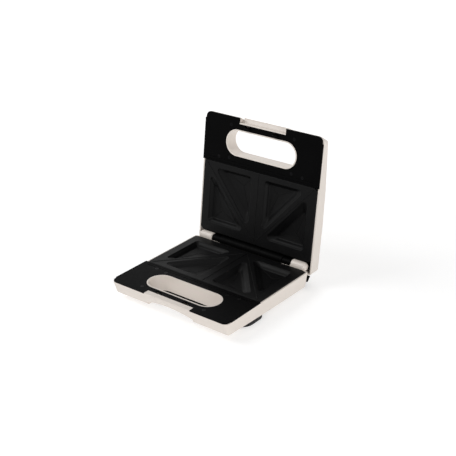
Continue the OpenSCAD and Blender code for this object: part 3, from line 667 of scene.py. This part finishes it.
class PlateMesh:                                  # a mesh drawn in a half's frame, in millimetres
    def __init__(self, half, top):
        self.work = bmesh.new()
        self.half = half
        self.top = top

    def point(self, flat, depth):
        return self.work.verts.new(self.half @ Vector((flat.x * mm, flat.y * mm, (self.top + depth) * mm)))

    def band(self, last, ring, depth, outside=False):     # faces from the last ring to a new one
        fresh = [self.point(p, depth) for p in ring]
        for i in range(len(ring)):
            j = (i + 1) % len(ring)
            inward, outward = [last[i], last[j], fresh[j], fresh[i]], [last[j], last[i], fresh[i], fresh[j]]
            self.work.faces.new(outward if outside else inward)
        return fresh

    # Flat faces between an outline and its holes; a rim gives the outline's corners that are already there
    def sheet(self, loops, depth, rim=None):
        flat = [p for loop in loops for p in loop]
        starts, edges = [], []
        for loop in loops:
            start = len(edges)
            starts.append(start)
            edges += [(start + i, start + (i + 1) % len(loop)) for i in range(len(loop))]
        made = delaunay_2d_cdt(flat, edges, [], 0, 1e-6)
        points, faces, origins = made[0], made[2], made[3]
        order = {origin: index for index, found in enumerate(origins) for origin in found}
        verts = {order[i]: vert for i, vert in enumerate(rim or [])}
        for index, p in enumerate(points):
            if index not in verts:
                verts[index] = self.point(p, depth)
        for face in faces:
            middle = sum((points[i] for i in face), Vector((0, 0))) / 3
            if not any(insideLoop(middle, hole) for hole in loops[1:]):
                self.work.faces.new([verts[i] for i in (reversed(face) if rim else face)])
        return [[verts[order[start + i]] for i in range(len(loop))] for start, loop in zip(starts, loops)]


def pocketFaces(plate, look, corners, rings, last):   # walls and floor; gives the floor's three ridge lines
    for ring, depth in rings[1:]:
        last = plate.band(last, ring, depth)
    middle = centreOf(corners, [look["legLean"], look["slopeLean"], look["legLean"]])
    bottom = look["depth"] + look["apexDrop"]
    apex = plate.point(middle, bottom)
    for i in range(len(last)):
        plate.work.faces.new([last[i], last[(i + 1) % len(last)], apex])
    floor = rings[-1][0]
    sink = look["ridgeSink"]
    for turn in range(3):                          # from the middle of each corner's arc
        corner = floor[turn * len(floor) // 3 + len(floor) // 6]
        yield (*corner, look["depth"] + sink), (*middle, bottom + sink)


def wellShapes(look, halfWide, front, rear):      # plan of the bulge under each field
    wide, reach = halfWide - look["fieldSide"] - look["fieldIn"], look["wellReach"]
    near, far = front + look["fieldFront"] - reach, rear - look["fieldRear"] + reach
    for side in (-1, 1):
        middle = side * (look["fieldIn"] + halfWide - look["fieldSide"]) / 2
        yield [p + Vector((middle, 0)) for p in roundedBox(wide / 2 + reach, near, far, look["wellCorner"])]


def ribLines(look, halfWide, front, rear):
    yield (0, front + look["middleRibFront"], 0), (0, rear - look["middleRibRear"], 0)
    (nearX, nearY), (farX, farY) = look["slantRibNear"], look["slantRibFar"]
    for side in (-1, 1):
        yield ((side * nearX, rear - look["fieldRear"] + nearY, 0),
               (side * (halfWide - look["fieldSide"] + farX), front + look["fieldFront"] - farY, 0))


def ribTree():                                    # a round bar along each guide edge
    recipe = Recipe("castRibs", {"Radius": 0.5 * mm})
    curve = recipe.node("GeometryNodeMeshToCurve", {}, {"Mesh": recipe.size("Geometry")})
    circle = recipe.node("GeometryNodeCurvePrimitiveCircle", {}, {
        "Resolution": 12, "Radius": recipe.size("Radius")})
    return recipe.finish(recipe.node("GeometryNodeCurveToMesh", {}, {
        "Curve": curve, "Profile Curve": circle, "Fill Caps": True}))


def ribMesh(name, lines, radius, half):
    drop = plateSettings["drop"]
    ends = [(x * mm, y * mm, (drop + depth) * mm) for line in lines for x, y, depth in line]
    guide = bpy.data.meshes.new(name)
    guide.from_pydata(ends, [(i, i + 1) for i in range(0, len(ends), 2)], [])
    piece = grown(name, plateRibTree, guide, "coating", half, {"Radius": radius * mm})
    mesh = piece.data
    bpy.data.objects.remove(piece)
    return mesh


def cookingPlate(node, name, half):
    look = plateSettings
    low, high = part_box("base_plate")
    halfWide = high.x / mm
    front, rear = (low.y - frontEdge) / mm, (high.y - frontEdge) / mm
    extent = (look, halfWide, front, rear)
    plate = PlateMesh(half, look["drop"])

    def outline(inset):
        return roundedBox(halfWide - inset, front + inset, rear - inset, look["corner"] - inset)

    pockets = [(corners, pocketRings(corners, look)) for corners in pocketCorners(*extent)]
    edge = look["edge"]
    last, *lips = plate.sheet([outline(edge)] + [rings[0][0] for corners, rings in pockets], 0)
    ridges = []
    for (corners, rings), lip in zip(pockets, lips):
        ridges += pocketFaces(plate, look, corners, rings, lip)
    for degrees in (22.5, 45, 67.5, 90):           # rounded outer edge, then the rim's side
        turn = math.radians(degrees)
        ring = outline(edge * (1 - math.sin(turn)))
        last = plate.band(last, ring, edge * (1 - math.cos(turn)), outside=True)
    last = plate.band(last, outline(0), look["rim"], outside=True)
    wells = list(wellShapes(*extent))
    loops = plate.sheet([outline(0)] + wells, look["rim"], rim=last)[1:]
    deep = look["depth"] + look["apexDrop"] + look["wellSkin"]
    for well, last in zip(wells, loops):
        middle = sum(well, Vector((0, 0))) / len(well)
        for size, height in look["wellRings"]:
            ring = [middle + (p - middle) * size for p in well]
            last = plate.band(last, ring, deep - height, outside=True)
        plate.work.faces.new(list(reversed(last)))
    plate.work.from_mesh(ribMesh(name + "Ribs", ribLines(*extent), look["ribRadius"], half))
    plate.work.from_mesh(ribMesh(name + "Ridges", ridges, look["ridgeRadius"], half))
    bmesh.ops.recalc_face_normals(plate.work, faces=plate.work.faces)
    mesh = bpy.data.meshes.new(name)
    plate.work.to_mesh(mesh)
    plate.work.free()
    piece = newObject(name, mesh)
    smoothed(piece, 50)
    standFor(piece, node, "coating")
    print("plate", name, len(piece.data.polygons), "faces")


plateRibTree = ribTree()
cookingPlate("base_plate", "basePlate", baseHalf)
cookingPlate("lid_plate", "lidPlate", lidHalf)


# The rest of the nodes keep their own mesh and get a finish
finishOfSlot = {
    "cream_shell": "cream", "cream_latch": "cream", "black_deck": "black", "coated_plate": "coating",
    "heater_steel": "sheath", "zinc_steel": "zinc", "blackened_screw": "blackSteel", "white_block": "block",
    "lead_sleeve": "sleeve", "rubber_feet": "rubber", "lamp_glass": "lampGlass", "red_lens": "lens",
}
for node, piece in nodes.items():
    material = finishes[finishOfSlot[slotOf(node)]]
    if not piece.material_slots:
        piece.data.materials.append(material)
    for slot in piece.material_slots:
        slot.material = material

boxes = {"cad": cadBox, "visual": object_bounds()}
{key: [list(corner) for corner in box] for key, box in boxes.items()}
